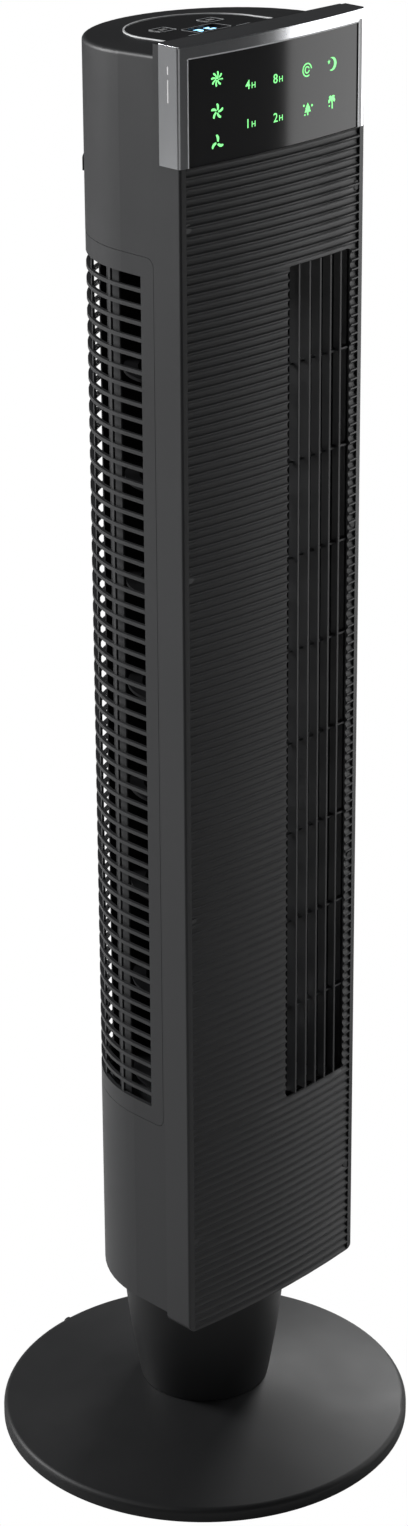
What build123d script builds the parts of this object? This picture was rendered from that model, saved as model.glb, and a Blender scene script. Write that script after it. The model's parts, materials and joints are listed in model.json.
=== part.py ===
from build123d import *
from math import acos, asin, cos, degrees, hypot, pi, radians, sin, sqrt, tan
import os

os.makedirs("parts", exist_ok=True)

# Tower fan on a round base. Millimetres, +Z up, the floor at z = 0, the oscillation axis on Z.
# The front of the tower faces -Y.

# ---------------------------------------------------------------- driving dimensions
total_height = 1016.0
wall = 3.0
gap = 0.3                       # clearance between bodies that move
running = 0.05                  # radial clearance of a running fit

# tower, in plan
half_width = 81.0
front_edge_y = -68.0            # front face at its two side edges
front_bow = 5.0                 # how far the middle of the front stands proud of its edges
seam_y = -45.8                  # joint between front panel and rear housing
bezel_back_y = -50.4
rear_centre_y = -15.5           # centre of the half-round back
rear_radius = half_width

# tower, in height
front_bottom = 129.3
body_bottom = 136.9
display_bottom = 941.9
display_top = 1007.3
top_height = 1005.9             # top face, measured on the oscillation axis
top_slope = 2.6                 # degrees that the top falls towards the back

# ribs across the front
rib_pitch = 6.065
rib_groove_radius = 2.9
rib_groove_depth = 1.6
rib_half_width = 76.7

# air outlet and its grille
outlet_left = 8.9
outlet_right = 69.4
outlet_bottom = 279.3
outlet_top = 865.4
outlet_columns = 6
outlet_rows = 9

# air inlet grille, wrapped round the back
grille_front_y = -44.3
grille_bottom = 280.5
grille_top = 883.0
grille_wall = 2.8
slot_front_y = -32.8
slot_bottom = 293.0
slot_pitch = 10.536
slot_height = 8.06
slot_rows = 55
grille_posts = 9
grille_post_first = 9.7         # degrees above the side, measured at the rear centre

# cross-flow blower
blower_x = -6.0
blower_y = -2.0
blade_radius = 45.0
blade_inner_radius = 36.5
blade_count = 30
blower_sections = 8
blower_bottom = 283.0
blower_top = 862.0
duct_bottom = 275.0             # upper face of the lower bracket
duct_top = 870.5                # lower face of the upper bracket
bracket_thickness = 3.0
shaft_radius = 4.0

# base
base_radius = 146.0
base_rim_top = 9.6
base_rim_bottom = 2.4
neck_bottom = 34.5
neck_top = 133.9
neck_bottom_radius = 45.6
neck_mid_radius = 53.2
neck_top_radius = 58.4
foot_height = 2.2

# oscillation drive
gear_module = 1.0
fixed_teeth = 60
pinion_teeth = 15
gear_bottom = 143.4
gear_height = 6.0
post_radius = 16.0

# screws that hold the front panel to the rear housing
screw_x = 74.6
screw_heights = (200.0, 440.0, 680.0, 905.0)

# control panel on top
panel_radius = 46.0
panel_centre_y = -3.0
key_size = 14.0
key_x = 20.5
key_rows = (8.0, -27.0)
key_names = (("key_timer", "key_speed"), ("key_swing", "key_power"))
key_travel = 0.8

bow_radius = (half_width**2 + front_bow**2) / (2 * front_bow)
bow_centre_y = front_edge_y - front_bow + bow_radius
top_plane = Plane(
    origin=(0, 0, top_height),
    x_dir=(1, 0, 0),
    z_dir=(0, sin(radians(top_slope)), cos(radians(top_slope))),
)


# ---------------------------------------------------------------- shared outlines
def bow_y(x, inset=0.0):
    """Y of the bowed front, or of a surface parallel to it further in."""
    return bow_centre_y - sqrt((bow_radius - inset) ** 2 - x**2)


def d_section(inset, front_y):
    """Plan of the half-round body, moved in by inset, cut square at front_y."""
    radius = rear_radius - inset
    with BuildSketch() as section:
        with BuildLine():
            Line((-radius, front_y), (-radius, rear_centre_y))
            ThreePointArc(
                (-radius, rear_centre_y), (0, rear_centre_y + radius), (radius, rear_centre_y)
            )
            Line((radius, rear_centre_y), (radius, front_y))
            Line((radius, front_y), (-radius, front_y))
        make_face()
    return section.sketch


def bowed_section(half, inset, back_y):
    """Plan of a block whose front follows the bowed face and whose back is flat."""
    with BuildSketch() as section:
        with BuildLine():
            ThreePointArc(
                (-half, bow_y(half, inset)), (0, bow_y(0, inset)), (half, bow_y(half, inset))
            )
            Line((half, bow_y(half, inset)), (half, back_y))
            Line((half, back_y), (-half, back_y))
            Line((-half, back_y), (-half, bow_y(half, inset)))
        make_face()
    return section.sketch


def gear_outline(teeth, turn):
    """Involute spur gear with thinned teeth; turn is the angle of the first tooth."""
    pitch_radius = gear_module * teeth / 2
    base_circle = pitch_radius * cos(radians(20))
    root_radius = pitch_radius - 1.2 * gear_module
    tip_radius = pitch_radius + 0.82 * gear_module
    thinning = 0.1 / pitch_radius

    def involute(radius):
        pressure = acos(min(1.0, base_circle / radius))
        return tan(pressure) - pressure

    def half_angle(radius):
        reach = max(radius, base_circle)
        return pi / (2 * teeth) - thinning + involute(pitch_radius) - involute(reach)

    flank = [root_radius, max(root_radius, base_circle) + 0.01, pitch_radius, tip_radius]
    points = []
    for tooth in range(teeth):
        middle = radians(turn) + 2 * pi * tooth / teeth
        for radius in flank:
            angle = middle - half_angle(radius)
            points.append((radius * cos(angle), radius * sin(angle)))
        for radius in reversed(flank):
            angle = middle + half_angle(radius)
            points.append((radius * cos(angle), radius * sin(angle)))
    with BuildSketch() as section:
        with BuildLine():
            Polyline(*points, close=True)
        make_face()
    return section.sketch


# ================================================================ BASE
# Conical base cover: a thin shell, open below, with a flat seat for the neck.
cover_wall = 3.0
plate_top = foot_height + 4.0
with BuildPart() as base_cover:
    with BuildSketch(Plane.XZ):
        with BuildLine():
            Polyline(
                (18, neck_bottom),
                (neck_bottom_radius, neck_bottom),
                (base_radius - 4.0, base_rim_top + 3.4),
            )
            ThreePointArc(
                (base_radius - 4.0, base_rim_top + 3.4),
                (base_radius - 1.1, base_rim_top + 1.9),
                (base_radius, base_rim_top - 1.2),
            )
            Polyline(
                (base_radius, base_rim_top - 1.2),
                (base_radius, base_rim_bottom),
                (base_radius - cover_wall, base_rim_bottom),
                (base_radius - cover_wall, base_rim_top - 1.0),
                (neck_bottom_radius, neck_bottom - cover_wall),
                (18, neck_bottom - cover_wall),
                (18, neck_bottom),
            )
        make_face()
    revolve(axis=Axis.Z)
    with BuildSketch(Plane.XY.offset(neck_bottom)):
        with PolarLocations(36, 4, start_angle=45):
            Circle(2.1)
    extrude(amount=-2 * cover_wall, mode=Mode.SUBTRACT)
    with BuildSketch(Plane.XZ.offset(-base_radius - 1)):
        with Locations((0, 6.6)):
            Circle(3.4)
    extrude(amount=8, mode=Mode.SUBTRACT)
    # posts that the ballast plate is screwed to
    with BuildSketch(Plane.XY.offset(plate_top)):
        with PolarLocations(118, 6, start_angle=30):
            Circle(5)
    extrude(amount=10.6)
    with BuildSketch(Plane.XY.offset(plate_top)):
        with PolarLocations(118, 6, start_angle=30):
            Circle(1.6)
    extrude(amount=7, mode=Mode.SUBTRACT)
base_cover.part.label = "base_cover"
export_step(base_cover.part, "parts/base_cover.step")

# Steel ballast plate that closes the underside.
with BuildPart() as ballast_plate:
    with BuildSketch(Plane.XY.offset(foot_height)):
        Circle(base_radius - cover_wall - 0.4)
        Circle(15, mode=Mode.SUBTRACT)
        with PolarLocations(118, 6, start_angle=30):
            Circle(2.3, mode=Mode.SUBTRACT)
    extrude(amount=plate_top - foot_height)
ballast_plate.part.label = "ballast_plate"
export_step(ballast_plate.part, "parts/ballast_plate.step")

with BuildPart() as plate_screws:
    with BuildSketch(Plane.XY.offset(foot_height - 1.6)):
        with PolarLocations(118, 6, start_angle=30):
            Circle(3.6)
    extrude(amount=1.6)
    with BuildSketch(Plane.XY.offset(foot_height - 0.1)):
        with PolarLocations(118, 6, start_angle=30):
            Circle(1.55)
    extrude(amount=9.0)
plate_screws.part.label = "plate_screws"
export_step(plate_screws.part, "parts/plate_screws.step")

with BuildPart() as rubber_feet:
    with BuildSketch():
        with PolarLocations(134.5, 10, start_angle=32):
            Circle(7)
    extrude(amount=foot_height)
    fillet(rubber_feet.faces().sort_by(Axis.Z)[0:10].edges(), 0.7)
rubber_feet.part.label = "rubber_feet"
export_step(rubber_feet.part, "parts/rubber_feet.step")

# Grommet where the mains lead enters the base, at the back of the rim.
with BuildPart() as cord_grommet:
    with BuildSketch(Plane.XZ.offset(-base_radius - 1.6)):
        with Locations((0, 6.6)):
            Circle(4.1)
    extrude(amount=1.6)
    with BuildSketch(Plane.XZ.offset(-base_radius)):
        with Locations((0, 6.6)):
            Circle(3.35)
    extrude(amount=cover_wall)
    with BuildSketch(Plane.XZ.offset(-base_radius - 1.6)):
        with Locations((0, 6.6)):
            Circle(2.5)
    extrude(amount=cover_wall + 1.6, mode=Mode.SUBTRACT)
cord_grommet.part.label = "cord_grommet"
export_step(cord_grommet.part, "parts/cord_grommet.step")

# Neck: a hollow barrel that widens upwards, with a seat flange below and a deck on top.
with BuildPart() as neck:
    with BuildSketch(Plane.XZ):
        with BuildLine():
            ThreePointArc(
                (neck_bottom_radius, neck_bottom),
                (neck_mid_radius, 81.0),
                (neck_top_radius, neck_top),
            )
            Polyline(
                (neck_top_radius, neck_top),
                (post_radius + 0.2, neck_top),
                (post_radius + 0.2, neck_top - wall),
                (neck_top_radius - wall, neck_top - wall),
            )
            ThreePointArc(
                (neck_top_radius - wall, neck_top - wall),
                (neck_mid_radius - wall, 81.0),
                (neck_bottom_radius - wall + 0.4, neck_bottom + wall),
            )
            Polyline(
                (neck_bottom_radius - wall + 0.4, neck_bottom + wall),
                (28, neck_bottom + wall),
                (28, neck_bottom),
                (neck_bottom_radius, neck_bottom),
            )
        make_face()
    revolve(axis=Axis.Z)
    with BuildSketch(Plane.XY.offset(neck_bottom)):
        with PolarLocations(36, 4, start_angle=45):
            Circle(1.95)
    extrude(amount=wall, mode=Mode.SUBTRACT)
    with BuildSketch(Plane.XY.offset(neck_top)):
        with PolarLocations(26, 4):
            Circle(2.1)
    extrude(amount=-wall, mode=Mode.SUBTRACT)
    fillet(neck.edges().filter_by(GeomType.CIRCLE).group_by(Axis.Z)[0].sort_by(SortBy.LENGTH)[-1], 1.2)
neck.part.label = "neck"
export_step(neck.part, "parts/neck.step")

with BuildPart() as neck_screws:
    with BuildSketch(Plane.XY.offset(neck_bottom - cover_wall)):
        with PolarLocations(36, 4, start_angle=45):
            Circle(3.8)
    extrude(amount=-2.6)
    with BuildSketch(Plane.XY.offset(neck_bottom - cover_wall - 0.1)):
        with PolarLocations(36, 4, start_angle=45):
            Circle(1.9)
    extrude(amount=cover_wall + wall + 5)
neck_screws.part.label = "neck_screws"
export_step(neck_screws.part, "parts/neck_screws.step")

# Hollow pivot post: its flange is screwed down on the neck's deck, the lead runs up its bore.
flange_height = 2.0
post_top = 153.0
clip_bottom = 149.9
with BuildPart() as pivot_post:
    with BuildSketch(Plane.XY.offset(neck_top)):
        Circle(34)
    extrude(amount=flange_height)
    with BuildSketch(Plane.XY.offset(neck_top - 8)):
        Circle(post_radius)
    extrude(amount=post_top - neck_top + 8)
    with BuildSketch(Plane.XY.offset(neck_top - 8)):
        Circle(11)
    extrude(amount=post_top - neck_top + 8, mode=Mode.SUBTRACT)
    with BuildSketch(Plane.XY.offset(clip_bottom - 0.1)):
        Circle(post_radius + 1)
        Circle(post_radius - 1.2, mode=Mode.SUBTRACT)
    extrude(amount=1.4, mode=Mode.SUBTRACT)
    with BuildSketch(Plane.XY.offset(neck_top)):
        with PolarLocations(26, 4):
            Circle(1.7)
    extrude(amount=1.5, mode=Mode.SUBTRACT)
pivot_post.part.label = "pivot_post"
export_step(pivot_post.part, "parts/pivot_post.step")

with BuildPart() as pivot_screws:
    with BuildSketch(Plane.XY.offset(neck_top - wall)):
        with PolarLocations(26, 4):
            Circle(3.4)
    extrude(amount=-2.4)
    with BuildSketch(Plane.XY.offset(neck_top - wall - 0.1)):
        with PolarLocations(26, 4):
            Circle(1.65)
    extrude(amount=wall + 1.5)
pivot_screws.part.label = "pivot_screws"
export_step(pivot_screws.part, "parts/pivot_screws.step")

with BuildPart() as thrust_washer:
    with BuildSketch(Plane.XY.offset(neck_top + flange_height)):
        Circle(33)
        Circle(post_radius + 0.6, mode=Mode.SUBTRACT)
    extrude(amount=body_bottom - gap - neck_top - flange_height)
thrust_washer.part.label = "thrust_washer"
export_step(thrust_washer.part, "parts/thrust_washer.step")

with BuildPart() as fixed_gear:
    with BuildSketch(Plane.XY.offset(gear_bottom)):
        add(gear_outline(fixed_teeth, 0))
        Circle(post_radius + 0.02, mode=Mode.SUBTRACT)
    extrude(amount=gear_height)
fixed_gear.part.label = "fixed_gear"
export_step(fixed_gear.part, "parts/fixed_gear.step")

# Spring clip, a ring with an open mouth, in the groove of the post.
with BuildPart() as retaining_clip:
    with BuildSketch(Plane.XY.offset(clip_bottom)):
        Circle(post_radius + 3.5)
        Circle(post_radius - 1.1, mode=Mode.SUBTRACT)
        with Locations((0, post_radius + 1)):
            Rectangle(8, 12, mode=Mode.SUBTRACT)
    extrude(amount=1.2)
retaining_clip.part.label = "retaining_clip"
export_step(retaining_clip.part, "parts/retaining_clip.step")

# ================================================================ TOWER SHELL
# Bottom cover: closes the rear housing from below and carries the bearing hub.
boss_places = [
    (74 * cos(radians(a)), rear_centre_y + 74 * sin(radians(a))) for a in (20, 70, 110, 160)
]
with BuildPart() as bottom_cover:
    with BuildSketch(Plane.XY.offset(body_bottom)):
        add(d_section(wall + 0.2, seam_y))
    extrude(amount=3.0)
    with BuildSketch(Plane.XY.offset(body_bottom)):
        Circle(22)
    extrude(amount=6.0)
    with BuildSketch(Plane.XY.offset(body_bottom)):
        Circle(post_radius + running)
    extrude(amount=6.0, mode=Mode.SUBTRACT)
    with BuildSketch(Plane.XY.offset(body_bottom)):
        with Locations(*boss_places):
            Circle(2.1)
    extrude(amount=3.0, mode=Mode.SUBTRACT)
bottom_cover.part.label = "bottom_cover"
export_step(bottom_cover.part, "parts/bottom_cover.step")

with BuildPart() as bottom_screws:
    with BuildSketch(Plane.XY.offset(body_bottom - 2.0)):
        with Locations(*boss_places):
            Circle(3.6)
    extrude(amount=2.0)
    with BuildSketch(Plane.XY.offset(body_bottom - 0.1)):
        with Locations(*boss_places):
            Circle(1.6)
    extrude(amount=11.0)
bottom_screws.part.label = "bottom_screws"
export_step(bottom_screws.part, "parts/bottom_screws.step")

# Rear housing: half-round shell with a sloping top, a wide window for the inlet grille
# and a hand pocket at the back.
handle_bottom = 893.0
handle_top = 920.0
handle_lip = 927.6
handle_half_angle = 48.0
rear_axis = Axis((0, rear_centre_y, 0), (0, 0, 1))


def rear_plane(angle):
    """Upright plane through the rear centre line; its x runs outwards at angle."""
    return Plane(
        origin=(0, rear_centre_y, 0),
        x_dir=(cos(radians(angle)), sin(radians(angle)), 0),
        z_dir=(sin(radians(angle)), -cos(radians(angle)), 0),
    )


handle_plane = rear_plane(90 - handle_half_angle)
panel_ledge = 2.6               # depth of the seat for the control panel
with BuildPart() as rear_housing:
    with BuildSketch(Plane.XY.offset(body_bottom)):
        add(d_section(0, seam_y))
    extrude(amount=total_height - body_bottom)
    with BuildSketch(top_plane):
        Rectangle(400, 400)
    extrude(amount=60, mode=Mode.SUBTRACT)
    rim = rear_housing.faces().sort_by(Axis.Z)[-1].edges().filter_by(
        lambda edge: edge.center().Y > seam_y + 1
    )
    fillet(rim, 2.6)
    with BuildSketch(Plane.XY.offset(body_bottom)) as hollow:
        add(d_section(wall, seam_y))
    extrude(amount=940 - body_bottom, mode=Mode.SUBTRACT)
    with BuildSketch(top_plane.offset(-wall)):
        add(d_section(wall, seam_y))
    extrude(amount=-90, mode=Mode.SUBTRACT)
    # window for the inlet grille, open across the whole back
    with BuildSketch(Plane.YZ.offset(-half_width - 1)):
        with BuildLine():
            Polyline(
                (100, grille_bottom), (grille_front_y + 6, grille_bottom),
            )
            ThreePointArc(
                (grille_front_y + 6, grille_bottom),
                (grille_front_y + 6 - 6 * sin(pi / 4), grille_bottom + 6 - 6 * cos(pi / 4)),
                (grille_front_y, grille_bottom + 6),
            )
            Line((grille_front_y, grille_bottom + 6), (grille_front_y, grille_top - 6))
            ThreePointArc(
                (grille_front_y, grille_top - 6),
                (grille_front_y + 6 - 6 * sin(pi / 4), grille_top - 6 + 6 * cos(pi / 4)),
                (grille_front_y + 6, grille_top),
            )
            Polyline((grille_front_y + 6, grille_top), (100, grille_top), (100, grille_bottom))
        make_face()
    extrude(amount=2 * half_width + 2, mode=Mode.SUBTRACT)
    # posts behind the grille's front edges join the upper and lower shells
    with BuildSketch(Plane.XY.offset(body_bottom + 10)):
        for side in (-1, 1):
            with Locations((side * 73.7, seam_y + 4.9)):
                Rectangle(7.6, 9.8)
    extrude(amount=display_bottom + 40 - body_bottom - 10)
    with BuildSketch(Plane.XY.offset(grille_bottom - 5)):
        for side in (-1, 1):
            with Locations((side * 79.0, (seam_y + grille_front_y) / 2)):
                Rectangle(4.0, grille_front_y - seam_y)
    extrude(amount=grille_top - grille_bottom + 10)
    # clearance holes for the screws of the front panel
    with BuildSketch(Plane.XZ.offset(-seam_y)):
        for side in (-1, 1):
            for height in screw_heights:
                with Locations((side * screw_x, height)):
                    Circle(1.45)
    extrude(amount=-9.8, mode=Mode.SUBTRACT)
    # bosses for the bottom screws
    with BuildSketch(Plane.XY.offset(body_bottom + 3.0)):
        with Locations(*boss_places):
            Circle(4.6)
            Circle(1.65, mode=Mode.SUBTRACT)
    extrude(amount=14)
    # slot for the hand pocket
    with BuildSketch(handle_plane):
        with Locations((rear_radius, (handle_bottom + handle_lip) / 2 - 0.3)):
            Rectangle(12, handle_lip - handle_bottom + 4.6)
    revolve(axis=rear_axis, revolution_arc=2 * handle_half_angle, mode=Mode.SUBTRACT)
    # seat for the control panel, with the space for keys and circuit board below it
    with BuildSketch(top_plane):
        with BuildLine():
            outer = panel_radius + 1.2
            Line((-outer, seam_y - 1), (-outer, panel_centre_y))
            ThreePointArc(
                (-outer, panel_centre_y), (0, panel_centre_y + outer), (outer, panel_centre_y)
            )
            Polyline((outer, panel_centre_y), (outer, seam_y - 1), (-outer, seam_y - 1))
        make_face()
    extrude(amount=-panel_ledge, mode=Mode.SUBTRACT)
    with BuildSketch(top_plane):
        with BuildLine():
            inner = panel_radius - 3.0
            Line((-inner, seam_y + 4), (-inner, panel_centre_y))
            ThreePointArc(
                (-inner, panel_centre_y), (0, panel_centre_y + inner), (inner, panel_centre_y)
            )
            Polyline((inner, panel_centre_y), (inner, seam_y + 4), (-inner, seam_y + 4))
        make_face()
    extrude(amount=-12, mode=Mode.SUBTRACT)
rear_housing.part.label = "rear_housing"
export_step(rear_housing.part, "parts/rear_housing.step")

# Hand pocket: a curved cup behind the slot, with a lip that stands proud along its top edge.
with BuildPart() as hand_pocket:
    with BuildSketch(handle_plane):
        with BuildLine():
            Polyline(
                (rear_radius, handle_bottom - 2),
                (rear_radius - 27, handle_bottom - 2),
                (rear_radius - 27, handle_top + 2),
                (rear_radius - 4, handle_top + 2),
                (rear_radius - 4, handle_lip),
                (rear_radius + 1.0, handle_lip),
                (rear_radius + 1.0, handle_top),
                (rear_radius - 25, handle_top),
                (rear_radius - 25, handle_bottom),
                (rear_radius, handle_bottom),
                close=True,
            )
        make_face()
    revolve(axis=rear_axis, revolution_arc=2 * handle_half_angle)
    cup_top = handle_top + 2
    with BuildSketch(handle_plane):
        with Locations((rear_radius - 13.5, (handle_bottom - 2 + cup_top) / 2)):
            Rectangle(27, cup_top - handle_bottom + 2)
    revolve(axis=rear_axis, revolution_arc=2.2)
    with BuildSketch(rear_plane(90 + handle_half_angle - 2.2)):
        with Locations((rear_radius - 13.5, (handle_bottom - 2 + cup_top) / 2)):
            Rectangle(27, cup_top - handle_bottom + 2)
    revolve(axis=rear_axis, revolution_arc=2.2)
hand_pocket.part.label = "hand_pocket"
export_step(hand_pocket.part, "parts/hand_pocket.step")

# Inlet grille: a frame that wraps round the back, thin posts, and slats outside the posts.
slot_top = slot_bottom + (slot_rows - 1) * slot_pitch + slot_height
with BuildPart() as inlet_grille:
    with BuildSketch(Plane.XY.offset(grille_bottom + gap)):
        add(d_section(0, grille_front_y + gap))
        add(d_section(grille_wall, grille_front_y - 5), mode=Mode.SUBTRACT)
    extrude(amount=grille_top - grille_bottom - 2 * gap)
    with BuildSketch(Plane.YZ.offset(-half_width - 1)):
        with Locations((50 + slot_front_y, (slot_bottom + slot_top) / 2)):
            Rectangle(100, slot_top - slot_bottom)
    extrude(amount=2 * half_width + 2, mode=Mode.SUBTRACT)
    front_edges = inlet_grille.edges().filter_by(Axis.X).filter_by(
        lambda edge: edge.center().Y < grille_front_y + 1
    )
    fillet(front_edges.group_by(Axis.Z)[0] + front_edges.group_by(Axis.Z)[-1], 5.7)
    post_step = (180 - 2 * grille_post_first) / (grille_posts - 1)
    with BuildSketch(Plane.XY.offset(slot_bottom - 1)):
        with Locations((0, rear_centre_y)):
            with PolarLocations(rear_radius - 2.0, grille_posts, start_angle=grille_post_first,
                                angular_range=post_step * grille_posts):
                Rectangle(1.6, 2.6)
    extrude(amount=slot_top - slot_bottom + 2)
    slat_heights = [slot_bottom + row * slot_pitch + slot_height for row in range(slot_rows - 1)]
    with BuildSketch(*[Plane.XY.offset(height) for height in slat_heights]):
        add(d_section(0.1, slot_front_y - 0.5))
        add(d_section(2.4, slot_front_y - 5), mode=Mode.SUBTRACT)
    extrude(amount=slot_pitch - slot_height)
inlet_grille.part.label = "inlet_grille"
export_step(inlet_grille.part, "parts/inlet_grille.step")

# ================================================================ FRONT PANEL
# Bowed channel with fine ribs, side returns, the outlet opening and a wall behind the display.
panel_wall = 2.6
first_rib = front_bottom + 3.1
rib_count = int((display_bottom - 2.7 - first_rib) / rib_pitch) + 1
rib_angle = degrees(asin(rib_half_width / bow_radius))
groove_half = sqrt(rib_groove_radius**2 - (rib_groove_radius - rib_groove_depth) ** 2)
corner_radius = 5.5
bow_axis = Axis((0, bow_centre_y, 0), (0, 0, 1))
bow_plane = Plane(
    origin=(0, bow_centre_y, 0),
    x_dir=(-sin(radians(rib_angle)), -cos(radians(rib_angle)), 0),
    z_dir=(-cos(radians(rib_angle)), sin(radians(rib_angle)), 0),
)
with BuildPart() as front_panel:
    # side strips and returns
    with BuildSketch(Plane.XY.offset(front_bottom)):
        add(bowed_section(half_width, 0, seam_y))
        add(bowed_section(half_width - panel_wall, panel_wall, seam_y + 1), mode=Mode.SUBTRACT)
        with Locations((0, front_edge_y)):
            Rectangle(2 * rib_half_width - 0.8, 30, mode=Mode.SUBTRACT)
    extrude(amount=display_bottom - front_bottom)
    fillet(front_panel.edges().filter_by(Axis.Z).filter_by(
        lambda edge: abs(edge.center().X) > half_width - 0.1 and edge.center().Y < front_edge_y + 1
    ), 1.6)
    # ribbed skin, one profile turned about the axis of the bow
    with BuildSketch(bow_plane):
        with BuildLine():
            start = (bow_radius, front_bottom)
            for rib in range(rib_count):
                middle = first_rib + rib * rib_pitch
                Line(start, (bow_radius, middle - groove_half))
                ThreePointArc(
                    (bow_radius, middle - groove_half),
                    (bow_radius - rib_groove_depth, middle),
                    (bow_radius, middle + groove_half),
                )
                start = (bow_radius, middle + groove_half)
            Polyline(
                start,
                (bow_radius, display_bottom),
                (bow_radius - panel_wall, display_bottom),
                (bow_radius - panel_wall, front_bottom),
                (bow_radius, front_bottom),
            )
        make_face()
    revolve(axis=bow_axis, revolution_arc=2 * rib_angle)
    # rounded lower corners
    with BuildSketch(Plane.XZ.offset(40)):
        for side in (-1, 1):
            with BuildLine():
                corner = (side * (half_width + 1), front_bottom - 1)
                foot = (side * (half_width - corner_radius), front_bottom)
                rise = (side * half_width, front_bottom + corner_radius)
                Polyline((foot[0], corner[1]), foot)
                ThreePointArc(
                    foot,
                    (side * (half_width - corner_radius * (1 - sin(pi / 4))),
                     front_bottom + corner_radius * (1 - cos(pi / 4))),
                    rise,
                )
                Polyline(rise, (corner[0], rise[1]), corner, (foot[0], corner[1]))
            make_face()
    extrude(amount=50, mode=Mode.SUBTRACT)
    with BuildSketch(Plane.XZ.offset(30)):
        with Locations(((outlet_left + outlet_right) / 2, (outlet_bottom + outlet_top) / 2)):
            RectangleRounded(outlet_right - outlet_left, outlet_top - outlet_bottom, 3)
    extrude(amount=60, mode=Mode.SUBTRACT)
    # wall that closes the housing behind the display and stands a little above its top
    with BuildSketch(Plane.XY.offset(display_bottom - 4)):
        with Locations((0, (bezel_back_y + seam_y) / 2)):
            Rectangle(2 * half_width, seam_y - bezel_back_y)
    extrude(amount=total_height - 1.2 - display_bottom + 4)
    # bosses for the screws that come through the housing's posts
    with BuildSketch(Plane.XZ.offset(-seam_y)):
        for side in (-1, 1):
            for height in screw_heights:
                with Locations((side * screw_x, height)):
                    Circle(3.0)
    extrude(amount=bow_y(70, 0) * -1 + seam_y - 1.2)
    with BuildSketch(Plane.XZ.offset(-seam_y)):
        for side in (-1, 1):
            for height in screw_heights:
                with Locations((side * screw_x, height)):
                    Circle(1.3)
    extrude(amount=12, mode=Mode.SUBTRACT)
front_panel.part.label = "front_panel"
export_step(front_panel.part, "parts/front_panel.step")

with BuildPart() as front_screws:
    with BuildSketch(Plane.XZ.offset(-seam_y - 9.8)):
        for side in (-1, 1):
            for height in screw_heights:
                with Locations((side * screw_x, height)):
                    Circle(2.6)
    extrude(amount=-2.0)
    with BuildSketch(Plane.XZ.offset(-seam_y - 9.9)):
        for side in (-1, 1):
            for height in screw_heights:
                with Locations((side * screw_x, height)):
                    Circle(1.25)
    extrude(amount=20)
front_screws.part.label = "front_screws"
export_step(front_screws.part, "parts/front_screws.step")

# Outlet grille: a collar behind the opening, upright vanes, and ties behind the vanes.
outlet_x = (outlet_left + outlet_right) / 2
outlet_z = (outlet_bottom + outlet_top) / 2
outlet_width = outlet_right - outlet_left
outlet_height = outlet_top - outlet_bottom
column_pitch = outlet_width / outlet_columns
row_pitch = outlet_height / outlet_rows
collar_front = -65.0
collar_back = -58.5
vane_back = -63.8
tie_front = -67.0
tie_back = -63.0
with BuildPart() as outlet_grille:
    with BuildSketch(Plane.XZ.offset(-collar_back)):
        with Locations((outlet_x, outlet_z)):
            RectangleRounded(outlet_width + 2.8, outlet_height + 2.8, 4)
            RectangleRounded(outlet_width, outlet_height, 2.6, mode=Mode.SUBTRACT)
    extrude(amount=collar_back - collar_front)
    # vanes, nearly flush with the bowed front, rooted in the collar behind the opening
    for root, front_limit in ((-0.1, None), (0.7, collar_front + 0.1)):
        with BuildSketch(Plane.XY.offset(outlet_bottom - root)):
            for column in range(1, outlet_columns):
                vane_x = outlet_left + column * column_pitch
                vane_front = front_limit if front_limit else bow_y(vane_x) + 0.9
                with Locations((vane_x, (vane_front + vane_back) / 2)):
                    Rectangle(1.4, vane_back - vane_front)
        extrude(amount=outlet_height + 2 * root)
    # ties
    for root, front_limit in ((-0.1, tie_front), (0.7, collar_front + 0.1)):
        with BuildSketch(Plane.XZ.offset(-tie_back)):
            with Locations((outlet_x, outlet_z)):
                with GridLocations(1, row_pitch, 1, outlet_rows - 1):
                    Rectangle(outlet_width + 2 * root, 1.3)
        extrude(amount=tie_back - front_limit)
outlet_grille.part.label = "outlet_grille"
export_step(outlet_grille.part, "parts/outlet_grille.step")

# ================================================================ DISPLAY HEAD
# Clear bezel: a solid arch round the display.
window_half = 74.0
with BuildPart() as display_bezel:
    with BuildSketch(Plane.XY.offset(display_bottom + 0.1)):
        add(bowed_section(half_width, 0, bezel_back_y - 0.1))
    extrude(amount=total_height - display_bottom - 0.1)
    upright = display_bezel.edges().filter_by(Axis.Z).group_by(Axis.Y)[0]
    fillet(upright, 2.4)
    with BuildSketch(Plane.XZ.offset(30)):
        with Locations((0, (display_bottom + display_top) / 2 - 2)):
            Rectangle(2 * window_half, display_top - display_bottom + 4)
    extrude(amount=60, mode=Mode.SUBTRACT)
    crown = display_bezel.edges().group_by(Axis.Z)[-1]
    fillet(crown, 1.2)
display_bezel.part.label = "display_bezel"
export_step(display_bezel.part, "parts/display_bezel.step")

# Black lens, bowed like the front.
with BuildPart() as display_lens:
    with BuildSketch(Plane.XY.offset(display_bottom + 0.1)):
        add(bowed_section(window_half - 0.1, 0.8, -62))
        add(bowed_section(window_half - 4, 3.8, -61), mode=Mode.SUBTRACT)
    extrude(amount=display_top - display_bottom - 0.2)
display_lens.part.label = "display_lens"
export_step(display_lens.part, "parts/display_lens.step")

# Tray that holds the display's circuit board.
with BuildPart() as display_tray:
    with BuildSketch(Plane.XZ.offset(-bezel_back_y + 0.1)):
        with Locations((0, (display_bottom + display_top) / 2)):
            Rectangle(2 * window_half - 0.4, display_top - display_bottom - 0.4)
    extrude(amount=11.3)
    with BuildSketch(Plane.XZ.offset(-bezel_back_y + 2.1)):
        with Locations((0, (display_bottom + display_top) / 2)):
            Rectangle(2 * window_half - 5, display_top - display_bottom - 5)
    extrude(amount=12, mode=Mode.SUBTRACT)
display_tray.part.label = "display_tray"
export_step(display_tray.part, "parts/display_tray.step")

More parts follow.
